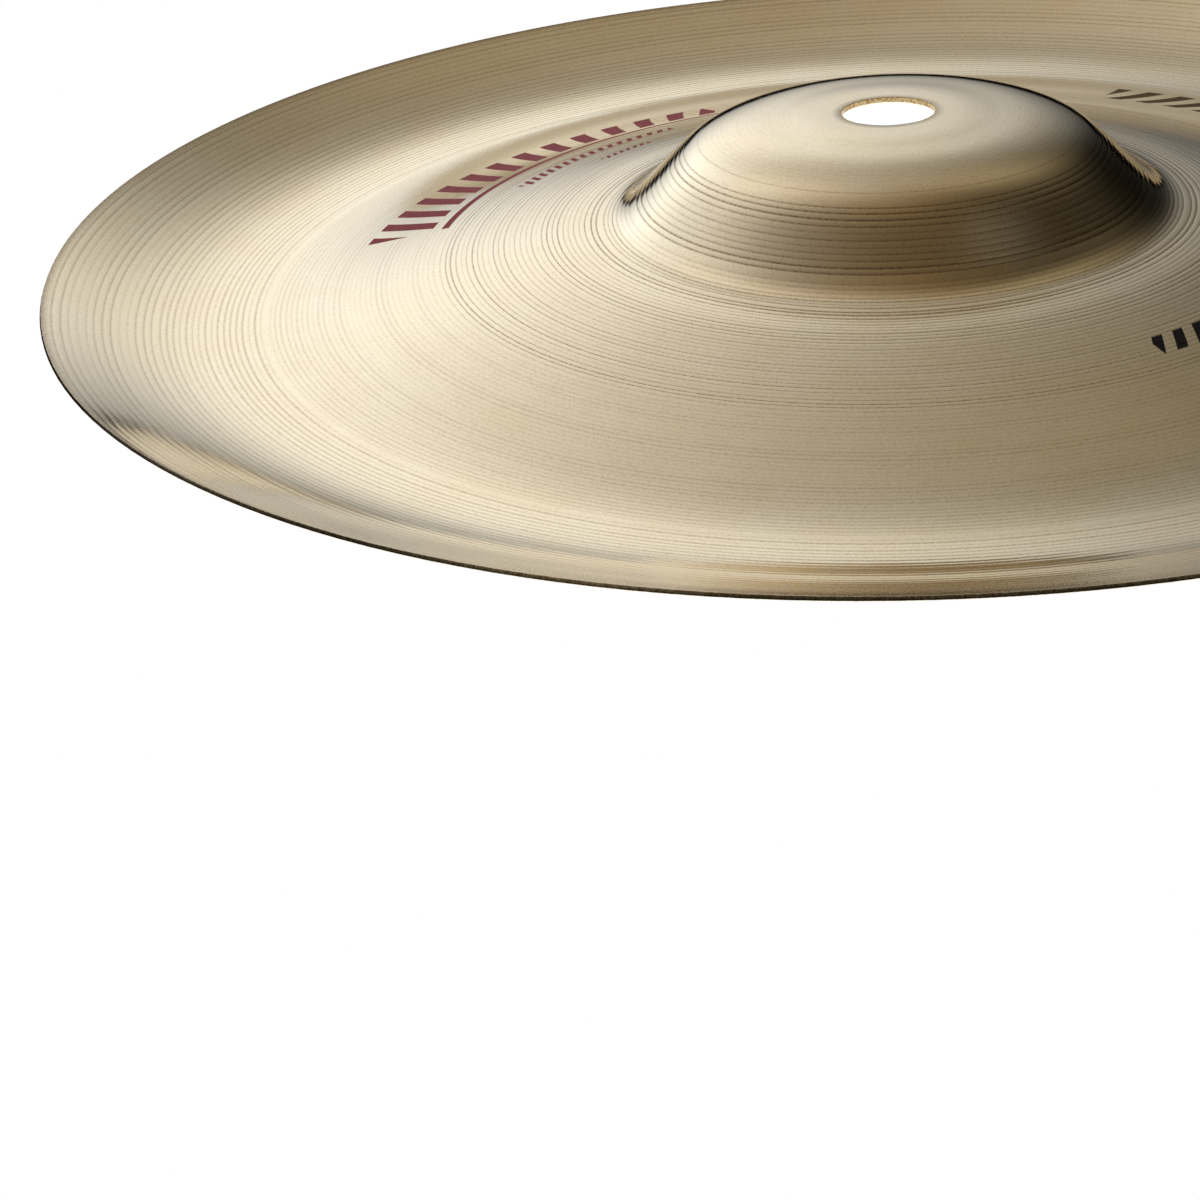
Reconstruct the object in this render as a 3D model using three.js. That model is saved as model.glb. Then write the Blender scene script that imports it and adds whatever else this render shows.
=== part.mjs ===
// A small china-type cymbal: one disc of cast, rolled and lathed bell bronze.
//
// The disc is a single surface of revolution about +Z. From the centre outwards it has a
// clearance hole, a flat crown, the dome and side of the bell, a bow that falls slowly to a
// valley, and a rim that flares up again. The origin is on the axis, level with the lowest
// ring of the underside, which is what the cymbal rests on when it lies on a table.
// Units are millimetres.

import * as THREE from "three";
import { mergeVertices } from "three/addons/utils/BufferGeometryUtils.js";

// Driving dimensions
const DIAMETER = 203.2; // 8 in across the rim
const HOLE_DIAMETER = 11; // clears the sleeve of a stand
const CROWN_THICKNESS = 0.65;
const VALLEY_THICKNESS = 0.5;
const RIM_THICKNESS = 0.42;

// The flat ring round the hole, the ring it rests on, and the flared rim
const CROWN_RADIUS = 8.4;
const CROWN_HEIGHT = 18.4; // heights are above the top of the valley
const VALLEY_INNER_RADIUS = 76.2;
const VALLEY_OUTER_RADIUS = 78.2;
const RIM_HEIGHT = 7.09;
const RIM_SLOPE = 26;

// Facets: steps round the axis, and steps along each stretch of curve between two stations
const STEPS_ROUND = 80;
const STEPS_PER_CURVE = 2;

// The rim is cut square to the sheet, so its lower corner is the widest point of the disc.
const RIM_TOP_RADIUS = DIAMETER / 2 - RIM_THICKNESS * Math.sin(THREE.MathUtils.degToRad(RIM_SLOPE));

// Where the top surface is steered: radius, height above the top of the valley, slope in degrees
const BELL_AND_BOW = [
  { radius: CROWN_RADIUS, height: CROWN_HEIGHT, slope: 0 },
  { radius: 13, height: 18.12, slope: -4.3 }, // dome
  { radius: 17, height: 17.73, slope: -8.5 },
  { radius: 20, height: 17.08, slope: -15.8 },
  { radius: 22.7, height: 16.05, slope: -26 }, // shoulder
  { radius: 24.5, height: 14.87, slope: -39 }, // side of the bell
  { radius: 30, height: 9.76, slope: -42 },
  { radius: 32.8, height: 7.6, slope: -27 },
  { radius: 35.4, height: 6.93, slope: -8 }, // foot of the bell
  { radius: 39, height: 6.5, slope: -6.5 },
  { radius: 46, height: 5.36, slope: -10 }, // bow
  { radius: 60, height: 2.48, slope: -12.8 },
  { radius: VALLEY_INNER_RADIUS, height: 0, slope: 0 },
];
const FLARE = [
  { radius: VALLEY_OUTER_RADIUS, height: 0, slope: 0 },
  { radius: 89, height: 1.69, slope: 17.2 },
  { radius: RIM_TOP_RADIUS, height: RIM_HEIGHT, slope: RIM_SLOPE },
];

// The sheet thins from the crown to the valley and on to the rim.
function thicknessAt(radius) {
  if (radius < VALLEY_INNER_RADIUS) {
    return THREE.MathUtils.mapLinear(
      radius, CROWN_RADIUS, VALLEY_INNER_RADIUS, CROWN_THICKNESS, VALLEY_THICKNESS);
  }
  return THREE.MathUtils.mapLinear(
    radius, VALLEY_OUTER_RADIUS, RIM_TOP_RADIUS, VALLEY_THICKNESS, RIM_THICKNESS);
}

// The smooth curve between two stations, which leaves and meets them at their slopes
function curveBetween(from, to) {
  const third = (to.radius - from.radius) / 3;
  const rise = (station) => Math.tan(THREE.MathUtils.degToRad(station.slope)) * third;
  return new THREE.CubicBezierCurve(
    new THREE.Vector2(from.radius, from.height),
    new THREE.Vector2(from.radius + third, from.height + rise(from)),
    new THREE.Vector2(to.radius - third, to.height - rise(to)),
    new THREE.Vector2(to.radius, to.height),
  );
}

// Points of the top surface along a run of stations, each with its direction along the surface
function sampleStations(stations) {
  const samples = [];
  for (let i = 1; i < stations.length; i += 1) {
    const curve = curveBetween(stations[i - 1], stations[i]);
    const first = i === 1 ? 0 : 1;
    for (let step = first; step <= STEPS_PER_CURVE; step += 1) {
      const along = step / STEPS_PER_CURVE;
      samples.push({ point: curve.getPoint(along), tangent: curve.getTangent(along) });
    }
  }
  return samples;
}

// The closed outline of the sheet: out along the underside, and back along the top
function sheetOutline() {
  const holeEdge = {
    point: new THREE.Vector2(HOLE_DIAMETER / 2, CROWN_HEIGHT),
    tangent: new THREE.Vector2(1, 0),
  };
  const samples = [holeEdge, ...sampleStations(BELL_AND_BOW), ...sampleStations(FLARE)];
  const raise = new THREE.Vector2(0, VALLEY_THICKNESS);
  const top = samples.map(({ point }) => point.clone().add(raise));
  const underside = samples.map(({ point, tangent }, i) => {
    const thickness = i === 0 ? CROWN_THICKNESS : thicknessAt(point.x);
    const down = new THREE.Vector2(tangent.y, -tangent.x);
    return top[i].clone().addScaledVector(down, thickness);
  });
  return [...underside, ...top.reverse(), underside[0]];
}

function makeCymbal() {
  const geometry = new THREE.LatheGeometry(sheetOutline(), STEPS_ROUND);
  geometry.rotateX(Math.PI / 2); // the lathe turns about +Y; the cymbal's axis is +Z
  geometry.deleteAttribute("normal");
  geometry.deleteAttribute("uv");
  const bronze = new THREE.MeshStandardMaterial({
    color: 0xc9b27c,
    roughness: 0.28,
    metalness: 1,
    flatShading: true,
  });
  const mesh = new THREE.Mesh(mergeVertices(geometry), bronze);
  mesh.name = "cymbal";
  return mesh;
}

const part = new THREE.Group();
part.name = "crash_cymbal";
part.add(makeCymbal());

export default part;
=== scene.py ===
"""A small lathed bronze cymbal with an upturned rim, photographed on a white table."""
import math

import bpy
import numpy as np
from mathutils import Matrix


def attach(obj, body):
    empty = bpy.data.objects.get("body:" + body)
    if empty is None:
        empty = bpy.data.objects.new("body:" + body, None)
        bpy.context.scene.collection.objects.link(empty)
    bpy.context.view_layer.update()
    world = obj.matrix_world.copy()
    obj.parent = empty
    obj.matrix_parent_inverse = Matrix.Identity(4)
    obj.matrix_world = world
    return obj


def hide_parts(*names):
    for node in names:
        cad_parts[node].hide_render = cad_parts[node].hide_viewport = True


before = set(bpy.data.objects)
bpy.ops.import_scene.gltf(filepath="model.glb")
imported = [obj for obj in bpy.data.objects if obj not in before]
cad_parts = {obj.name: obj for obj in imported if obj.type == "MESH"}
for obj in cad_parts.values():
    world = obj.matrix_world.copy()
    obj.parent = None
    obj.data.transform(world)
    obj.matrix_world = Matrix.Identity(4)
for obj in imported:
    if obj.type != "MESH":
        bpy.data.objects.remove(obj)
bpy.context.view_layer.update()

MM = 0.001
SEED = 20

# The mesh: steps round the axis, and how the four edges of the sheet are rounded
STEPS_ROUND = 192
EDGE_ROUNDING = 0.05 * MM
EDGE_STEPS = 4

# Lathe grooves of the top, by zone: from and to radius, pitch, width, depth in mm, and how much depth varies
TOP_GROOVES = (
    (9.0, 22.0, 0.62, 0.50, 0.0012, 0.6),  # crown and dome: barely there
    (22.5, 23.2, 0.60, 0.30, 0.0060, 0.1),  # one line at the shoulder
    (24.2, 31.0, 0.60, 0.28, 0.0120, 0.6),  # side of the bell
    (31.2, 35.0, 0.52, 0.28, 0.0090, 0.6),
    (35.2, 36.4, 0.62, 0.34, 0.0190, 0.1),  # two deep lines at the bell's foot
    (36.6, 55.0, 0.66, 0.30, 0.0110, 0.6),  # inner bow: narrow cuts with land between them
    (55.2, 76.0, 0.65, 0.50, 0.0035, 0.5),  # outer bow: shallow
    (76.4, 89.0, 0.73, 0.50, 0.0060, 0.5),  # valley and inner flare
    (89.0, 100.9, 0.90, 0.45, 0.0055, 0.5),  # outer flare
)
UNDERSIDE_GROOVES = (
    (10.0, 74.0, 1.60, 1.20, 0.0040, 0.4),
    (80.0, 100.0, 1.60, 1.20, 0.0040, 0.4),
)
FULL_TARNISH_AND_SHADE_DEPTH = 0.015 * MM  # a groove this deep is as dark as grooves get, with tarnish and painted shade
LAND_STEP = 1.2 * MM

# Studio light: azimuth (0 is away from the camera, 90 to the right), elevation, spread in degrees, colour
SOFT_LIGHTS = (
    (-28, 14, 13, (1.00, 1.05, 1.15)),  # long white panel, low, left of the backdrop
    (0, 20, 12, (0.90, 0.90, 0.90)),  # its dimmer right-hand part, straight ahead
    (-50, 35, 20, (0.60, 0.62, 0.68)),  # big panel on the left
    (-25, 45, 18, (0.34, 0.33, 0.32)),  # soft fill above the panels
    (-45, 60, 20, (0.30, 0.25, 0.20)),  # warm ceiling
    (40, 52, 14, (0.26, 0.22, 0.15)),  # weak warm fill, high on the right
    (180, 88, 20, (0.15, 0.10, 0.05)),  # overhead
    (-130, 38, 12, (0.55, 0.52, 0.46)),  # behind the camera, for the cymbal's far side
    (180, 40, 10, (0.25, 0.24, 0.21)),
    (130, 38, 12, (0.55, 0.52, 0.46)),
)
HORIZON = (0.5, 3.5)  # elevations between which the light fades in, in degrees
TABLE_EDGE = (-14, -26)  # elevations between which the white table fades in
TABLE_GLOW = 2.4

# Bronze: clean, slightly warmer, and a dark brown for tarnish that also paints the shade in grooves, the
# hole wall and the rim's edge
BRONZE = (0.80, 0.70, 0.50)
BRONZE_WARM = (0.79, 0.68, 0.47)
DARK_TARNISH_AND_SHADE = (0.22, 0.15, 0.07)
POLISH = (0.05, 0.10)  # least and most roughness of clean bronze
TARNISH_ROUGHNESS = 0.15  # more than clean bronze's

# Its texture: noise scales across and along the turning, and per metre; and the height of the finest marks
MARKS_ACROSS, MARKS_ALONG = 4200, 18
STREAKS_ACROSS, STREAKS_ALONG = 1500, 5
GRAIN_SCALE = 3500
MOTTLE_SCALE = 110
STREAK_SHARE = 0.03  # how much tarnish the darkest streaks and grains hold
GRAIN_SHARE = 0.12
MARK_RELIEF = 0.002 * MM

# Printed marks, as plain arcs: from and to radius in mm, from and to angle from +X in degrees,
# how many slanted bars the arc is cut into (0 leaves it whole), and ink colour
MAROON = (0.40, 0.035, 0.06)
UMBER = (0.12, 0.07, 0.02)
BLACK = (0.012, 0.01, 0.01)
INK_MARKS = (
    (58.0, 66.5, 106, 166, 13, MAROON),
    (55.6, 56.6, 106, 166, 0, MAROON),
    (49.6, 51.6, 118, 151, 17, MAROON),
    (44.6, 45.8, 127, 138, 7, MAROON),
    (66.0, 74.0, 22, 56, 9, UMBER),
    (48.2, 51.4, -64, -30, 10, BLACK),
)
INK_ROUGHNESS = 0.4  # more than the bronze's
BAR_SHARE = 0.5  # of the distance from one bar to the next
BAR_LEAN = 0.7  # how far the bar's outer end leads its inner end, in bars
INK_EDGE = 0.08 * MM  # half the width over which an arc's round edges fade
INK_END = 0.1  # the same for its two ends, in degrees
BAR_EDGE = 0.02  # the same for its bars, in bars
INK_SPECULAR = 0.06  # the ink is matt; bare metal doesn't use this value

# The camera: a long lens; its place in metres has its height measured from the rim's top
LENS, SENSOR = 75, 36
CAMERA_PLACE = (-0.0385, -0.2880, 0.1004)
CAMERA_DOWNWARD = 27.74  # degrees
CAMERA_ROLL = 4.37

# The table and backdrop in metres: (radius, height) from the middle of the table to overhead
STAGE_PROFILE = [(0, -0.0002), (2.0, -0.0002), (3.0, 0.3), (3.5, 1.2), (3.0, 3.0), (0, 4.0)]
STAGE_STEPS = 48

rng = np.random.default_rng(SEED)


# ---------------------------------------------------------------- the sheet's shape

def packed_profile(node):
    """The top's and the underside's (radius, height) points, hole to rim, from one cut through the CAD."""
    corners = np.array([v.co for v in node.data.vertices])
    in_cut = (abs(corners[:, 0]) < 1e-6) & (corners[:, 1] < 0)
    cut = np.unique(np.round(corners[in_cut][:, 1:] * [-1, 1], 8), axis=0)
    gaps = np.linalg.norm(cut[:, None] - cut[None], axis=2)
    np.fill_diagonal(gaps, np.inf)
    partner = cut[gaps.argmin(axis=1)]
    is_top = cut[:, 1] > partner[:, 1]
    return cut[is_top], partner[is_top]


def smooth_curve(points):
    """The natural cubic spline height(radius) through the points."""
    radii, heights = points[:, 0], points[:, 1]
    step = np.diff(radii)
    count = len(radii)
    matrix = np.eye(count)
    bend = np.zeros(count)
    for i in range(1, count - 1):
        matrix[i, i - 1:i + 2] = step[i - 1], 2 * (step[i - 1] + step[i]), step[i]
        bend[i] = 6 * ((heights[i + 1] - heights[i]) / step[i] - (heights[i] - heights[i - 1]) / step[i - 1])
    curvature = np.linalg.solve(matrix, bend)

    def height(radius):
        i = np.clip(np.searchsorted(radii, radius) - 1, 0, count - 2)
        left, right = radii[i + 1] - radius, radius - radii[i]
        width = step[i]
        cubic = (curvature[i] * left**3 + curvature[i + 1] * right**3) / (6 * width)
        linear_left = (heights[i] / width - curvature[i] * width / 6) * left
        linear_right = (heights[i + 1] / width - curvature[i + 1] * width / 6) * right
        return cubic + linear_left + linear_right

    return height


def groove_samples(zones, inner, outer):
    """Radii to sample between inner and outer, and how deep the lathe has cut at each."""
    radii, cuts = [], []
    for start, end, pitch, width, depth, variation in zones:
        for centre in np.arange(start + pitch / 2, end - pitch / 4, pitch):
            cut = depth * (1 + variation * rng.uniform(-1, 1))
            middle = centre + 0.06 * pitch * rng.uniform(-1, 1)
            radii += [middle + share * width / 2 for share in (-0.98, -0.5, 0, 0.5, 0.98)]
            cuts += [0, cut / 2, cut, cut / 2, 0]
    radii, cuts = np.array(radii) * MM, np.array(cuts) * MM
    ends = np.array([inner, outer])
    land = np.arange(inner, outer, LAND_STEP)
    nearest = np.abs(land[:, None] - np.r_[radii, ends][None]).min(axis=1)
    land = land[nearest > LAND_STEP / 2]
    radii = np.r_[radii, land, ends]
    cuts = np.r_[cuts, np.zeros(len(land) + 2)]
    order = np.argsort(radii)
    return radii[order], cuts[order]


def rounded(before, corner, after):
    """Points of a small arc that replaces a corner of the outline."""
    before, corner, after = before[:2], corner[:2], after[:2]
    towards = [(p - corner) / np.linalg.norm(p - corner) for p in (before, after)]
    start, end = (corner + EDGE_ROUNDING * t for t in towards)
    along = np.linspace(0, 1, EDGE_STEPS + 1)[:, None]
    return (1 - along)**2 * start + 2 * along * (1 - along) * corner + along**2 * end


def sheet_outline(top_points, under_points):
    """The closed outline of the grooved sheet: (radius, height, tarnish and painted shade) rows."""
    sides = []
    for points, zones, sense in (
            (top_points, TOP_GROOVES, -1), (under_points, UNDERSIDE_GROOVES, 1)):
        inner = points[0, 0] + EDGE_ROUNDING
        outer = points[-1, 0] - EDGE_ROUNDING
        radii, cuts = groove_samples(zones, inner, outer)
        heights = smooth_curve(points)(radii)
        # the smooth curve mustn't leave the CAD's box between its points
        heights = np.clip(heights, under_points[:, 1].min(), top_points[:, 1].max())
        # third column: tarnish and painted shade, darker in deeper grooves
        sides.append(np.c_[radii, heights + sense * cuts, np.clip(cuts / FULL_TARNISH_AND_SHADE_DEPTH, 0, 1)])
    top, under = sides
    rim = [rounded(top[-1], top_points[-1], under_points[-1]),
           rounded(top_points[-1], under_points[-1], under[-1])]
    hole = [rounded(under[0], under_points[0], top_points[0]),
            rounded(under_points[0], top_points[0], top[0])]
    # the rounded rim edge and the hole wall are painted fully dark: painted shade
    rim, hole = (np.pad(np.concatenate(arcs), ((0, 0), (0, 1)), constant_values=1) for arcs in (rim, hole))
    return np.concatenate([top[1:-1], rim, under[::-1][1:-1], hole])


def turn(name, outline):
    """A closed mesh: the outline turned about +Z."""
    count = len(outline)
    angles = np.arange(STEPS_ROUND) * 2 * math.pi / STEPS_ROUND
    x = outline[None, :, 0] * np.cos(angles)[:, None]
    y = outline[None, :, 0] * np.sin(angles)[:, None]
    z = np.broadcast_to(outline[None, :, 1], x.shape)
    corners = np.stack([x, y, z], axis=-1).reshape(-1, 3)
    here = np.arange(STEPS_ROUND)[:, None] * count
    there = (np.arange(STEPS_ROUND)[:, None] + 1) % STEPS_ROUND * count
    point = np.arange(count)[None]
    after = (point + 1) % count
    faces = np.stack([here + point, here + after, there + after, there + point], axis=-1)
    mesh = bpy.data.meshes.new(name)
    mesh.from_pydata(corners.tolist(), [], faces.reshape(-1, 4).tolist())
    mesh.shade_smooth()
    # each point's share of tarnish and painted shade, carried to the material
    mesh.attributes.new("tarnish_and_shade", "FLOAT", "POINT")
    mesh.attributes["tarnish_and_shade"].data.foreach_set("value", np.tile(outline[:, 2], STEPS_ROUND))
    mesh.update()
    made = bpy.data.objects.new(name, mesh)
    bpy.context.scene.collection.objects.link(made)
    return made


# ---------------------------------------------------------------- materials

def add_node(tree, kind, operation, *values):
    """A node with its operation and inputs set; an input is a number, a vector or another node's output."""
    node = tree.nodes.new(kind)
    if operation:
        node.operation = operation
    for socket, value in zip(node.inputs, values):
        if isinstance(value, bpy.types.NodeSocket):
            tree.links.new(value, socket)
        elif value is not None:
            socket.default_value = value
    return node


def maths(tree, operation, *values):
    return add_node(tree, "ShaderNodeMath", operation, *values).outputs[0]


def fade(tree, value, start, end, low=0.0, high=1.0):
    """low where value is under start, high where it is over end, and smooth between."""
    node = add_node(tree, "ShaderNodeMapRange", None, value, start, end, low, high)
    node.interpolation_type = "SMOOTHSTEP"
    return node.outputs[0]


def blend(tree, share, first, second):
    """A mix of two colours."""
    node = tree.nodes.new("ShaderNodeMix")
    node.data_type = "RGBA"
    tree.links.new(share, node.inputs["Factor"])
    for name, value in (("A", first), ("B", second)):
        socket = next(i for i in node.inputs if i.name == name and i.type == "RGBA")
        if isinstance(value, bpy.types.NodeSocket):
            tree.links.new(value, socket)
        else:
            socket.default_value = (*value, 1)
    return next(o for o in node.outputs if o.type == "RGBA")


def noise(tree, position, scale, detail=2.0, roughness=0.5):
    node = tree.nodes.new("ShaderNodeTexNoise")
    node.inputs["Scale"].default_value = scale
    node.inputs["Detail"].default_value = detail
    node.inputs["Roughness"].default_value = roughness
    tree.links.new(position, node.inputs["Vector"])
    return node.outputs["Fac"]


def polar(tree, position):
    """Radius from the axis in metres, and the angle from +X in degrees."""
    parts = add_node(tree, "ShaderNodeSeparateXYZ", None, position)
    x, y = parts.outputs["X"], parts.outputs["Y"]
    squares = (maths(tree, "MULTIPLY", part, part) for part in (x, y))
    radius = maths(tree, "SQRT", maths(tree, "ADD", *squares))
    angle = maths(tree, "MULTIPLY", maths(tree, "ARCTAN2", y, x), 180 / math.pi)
    return x, y, radius, angle


def turning_coordinates(tree, x, y, radius, across, along):
    """A texture position that changes quickly across the lathe marks and slowly along them, with no seam."""
    combined = tree.nodes.new("ShaderNodeCombineXYZ")
    tree.links.new(maths(tree, "MULTIPLY", radius, across), combined.inputs["X"])
    for part, name in ((x, "Y"), (y, "Z")):
        unit = maths(tree, "DIVIDE", part, maths(tree, "MAXIMUM", radius, 0.1 * MM))
        tree.links.new(maths(tree, "MULTIPLY", unit, along), combined.inputs[name])
    return combined.outputs[0]


def window(tree, value, start, end, soft):
    """1 where value is between start and end, 0 elsewhere, with soft edges."""
    after_start = fade(tree, value, start - soft, start + soft)
    before_end = fade(tree, value, end - soft, end + soft, 1, 0)
    return maths(tree, "MULTIPLY", after_start, before_end)


def ink_mark(tree, radius, angle, inner, outer, start, end, bars):
    """1 where the ink of one arc of bars is, and 0 elsewhere."""
    inside = window(tree, radius, inner * MM, outer * MM, INK_EDGE)
    between = window(tree, angle, start, end, INK_END)
    ink = maths(tree, "MULTIPLY", inside, between)
    if not bars:
        return ink
    lean_rate = BAR_LEAN / (outer - inner)
    bar_rate = bars / (end - start)
    lean = maths(tree, "MULTIPLY_ADD", radius, lean_rate / MM, -inner * lean_rate)
    along = maths(tree, "MULTIPLY_ADD", angle, bar_rate, -start * bar_rate)
    wave = maths(tree, "PINGPONG", maths(tree, "ADD", along, lean), 0.5)
    gap = (1 - BAR_SHARE) / 2
    return maths(tree, "MULTIPLY", ink, fade(tree, wave, gap - BAR_EDGE, gap + BAR_EDGE))


def printed(tree, colour, radius, angle, on_top):
    """The colour with the printed marks over it, and how bare the metal is: 1 beside the ink, 0 under it."""
    bare = 1.0
    for *extent, ink_colour in INK_MARKS:
        ink = maths(tree, "MULTIPLY", ink_mark(tree, radius, angle, *extent), on_top)
        colour = blend(tree, ink, colour, ink_colour)
        bare = maths(tree, "SUBTRACT", bare, ink)
    return colour, bare


def bronze_material():
    """Polished bell bronze: turning marks, grooves, hole wall and rim edge darkened by painted shade and
    some tarnish, grain, a faint mottle and printed marks.
    """
    material = bpy.data.materials.new("lathed_bronze")
    material.use_nodes = True
    tree = material.node_tree
    shader = tree.nodes["Principled BSDF"]
    coordinates = tree.nodes.new("ShaderNodeTexCoord")
    position = coordinates.outputs["Object"]
    x, y, radius, angle = polar(tree, position)
    upward = add_node(tree, "ShaderNodeSeparateXYZ", None, coordinates.outputs["Normal"]).outputs["Z"]
    on_top = fade(tree, upward, 0.0, 0.1)
    marks = noise(tree, turning_coordinates(tree, x, y, radius, MARKS_ACROSS, MARKS_ALONG), 1, 3, 0.6)
    streaks = noise(tree, turning_coordinates(tree, x, y, radius, STREAKS_ACROSS, STREAKS_ALONG), 1, 2)
    grain = noise(tree, position, GRAIN_SCALE, 1)
    mottle = noise(tree, position, MOTTLE_SCALE, 3)
    # tarnish and painted shade in the grooves, the hole wall and the rim's edge
    attribute = tree.nodes.new("ShaderNodeAttribute")
    attribute.attribute_name = "tarnish_and_shade"
    tarnish_and_shade = attribute.outputs["Fac"]

    clean = blend(tree, fade(tree, mottle, 0.35, 0.65), BRONZE, BRONZE_WARM)
    streaked = blend(tree, fade(tree, streaks, 0.45, 0.75, 0, STREAK_SHARE), clean, DARK_TARNISH_AND_SHADE)
    grained = blend(tree, fade(tree, grain, 0.45, 0.65, 0, GRAIN_SHARE), streaked, DARK_TARNISH_AND_SHADE)
    # painted shade with some tarnish darkens the grooves, hole wall and rim edge, broken up by the grain
    dashed = maths(tree, "MULTIPLY", tarnish_and_shade, fade(tree, grain, 0.3, 0.7, 0.6, 1.0))
    grooved = blend(tree, dashed, grained, DARK_TARNISH_AND_SHADE)
    colour, bare = printed(tree, grooved, radius, angle, on_top)
    tree.links.new(colour, shader.inputs["Base Color"])
    tree.links.new(bare, shader.inputs["Metallic"])
    shader.inputs["Specular IOR Level"].default_value = INK_SPECULAR

    roughness = maths(tree, "ADD", fade(tree, marks, 0.3, 0.7, *POLISH),
                      maths(tree, "MULTIPLY", tarnish_and_shade, TARNISH_ROUGHNESS))
    roughness = maths(tree, "ADD", roughness, fade(tree, bare, 0, 1, INK_ROUGHNESS, 0))
    tree.links.new(roughness, shader.inputs["Roughness"])
    relief = maths(tree, "MULTIPLY_ADD", marks, 0.5, maths(tree, "MULTIPLY", grain, 0.35))
    bump = tree.nodes.new("ShaderNodeBump")
    bump.inputs["Strength"].default_value = 1.0
    bump.inputs["Distance"].default_value = MARK_RELIEF
    tree.links.new(relief, bump.inputs["Height"])
    tree.links.new(bump.outputs[0], shader.inputs["Normal"])
    return material


# ---------------------------------------------------------------- camera, stage and light

def add_camera(rim_top):
    """The photograph's view, from just above the rim."""
    data = bpy.data.cameras.new("camera")
    data.lens, data.sensor_width = LENS, SENSOR
    camera = bpy.data.objects.new("camera", data)
    x, y, height = CAMERA_PLACE
    place = Matrix.Translation((x, y, height + rim_top))
    tilt = Matrix.Rotation(math.pi / 2 - math.radians(CAMERA_DOWNWARD), 4, "X")
    roll = Matrix.Rotation(-math.radians(CAMERA_ROLL), 4, "Z")
    camera.matrix_world = place @ tilt @ roll
    bpy.context.scene.collection.objects.link(camera)
    bpy.context.scene.camera = camera


def white_glow():
    """The stage's material: plain white that needs no light."""
    material = bpy.data.materials.new("white_table")
    material.use_nodes = True
    tree = material.node_tree
    tree.nodes.clear()
    glow = tree.nodes.new("ShaderNodeEmission")
    output = tree.nodes.new("ShaderNodeOutputMaterial")
    tree.links.new(glow.outputs[0], output.inputs[0])
    return material


def add_stage():
    """A white table that runs up into a white backdrop; only the camera sees it."""
    angles = np.arange(STAGE_STEPS) * 2 * math.pi / STAGE_STEPS
    corners = [(r * math.cos(a), r * math.sin(a), z) for a in angles for r, z in STAGE_PROFILE]
    count = len(STAGE_PROFILE)
    faces = []
    for i in range(STAGE_STEPS):
        here, there = i * count, (i + 1) % STAGE_STEPS * count
        faces += [(here + j, here + j + 1, there + j + 1, there + j) for j in range(count - 1)]
    mesh = bpy.data.meshes.new("table")
    mesh.from_pydata(corners, [], faces)
    mesh.materials.append(white_glow())
    table = bpy.data.objects.new("table", mesh)
    bpy.context.scene.collection.objects.link(table)
    table.visible_diffuse = table.visible_glossy = table.visible_transmission = False
    table.visible_shadow = False


def vector_maths(tree, operation, *values):
    return add_node(tree, "ShaderNodeVectorMath", operation, *values)


def sine(degrees):
    return math.sin(math.radians(degrees))


def soft_light(tree, direction, azimuth, elevation, spread):
    """A round glow's brightness: 1 in its own direction, and less the further a direction is from it."""
    level = math.cos(math.radians(elevation))
    centre = (sine(azimuth) * level, math.cos(math.radians(azimuth)) * level, sine(elevation))
    nearness = vector_maths(tree, "DOT_PRODUCT", direction, centre).outputs["Value"]
    sharpness = 1 / math.radians(spread)**2
    return maths(tree, "EXPONENT", maths(tree, "MULTIPLY_ADD", nearness, sharpness, -sharpness))


def add_world():
    """Soft lights in a dark room above the horizon, and the white table's light from below."""
    world = bpy.data.worlds.new("studio")
    bpy.context.scene.world = world
    world.use_nodes = True
    tree = world.node_tree
    direction = tree.nodes.new("ShaderNodeTexCoord").outputs["Generated"]
    upward = add_node(tree, "ShaderNodeSeparateXYZ", None, direction).outputs["Z"]
    total = (0, 0, 0)
    for azimuth, elevation, spread, colour in SOFT_LIGHTS:
        glow = soft_light(tree, direction, azimuth, elevation, spread)
        total = vector_maths(tree, "MULTIPLY_ADD", glow, colour, total).outputs[0]
    horizon = fade(tree, upward, *map(sine, HORIZON))
    above = tree.nodes.new("ShaderNodeVectorMath")
    above.operation = "SCALE"
    tree.links.new(total, above.inputs[0])
    tree.links.new(horizon, above.inputs["Scale"])
    below = fade(tree, upward, *map(sine, TABLE_EDGE), 0, TABLE_GLOW)
    light = vector_maths(tree, "ADD", above.outputs[0], below)
    tree.links.new(light.outputs[0], tree.nodes["Background"].inputs["Color"])


top_points, under_points = packed_profile(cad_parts["cymbal"])
cymbal = turn("cymbal_body", sheet_outline(top_points, under_points))
cymbal.data.materials.append(bronze_material())
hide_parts("cymbal")
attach(cymbal, "root")

add_camera(top_points[-1, 1])
add_stage()
add_world()
bpy.context.scene.view_settings.view_transform = "Standard"
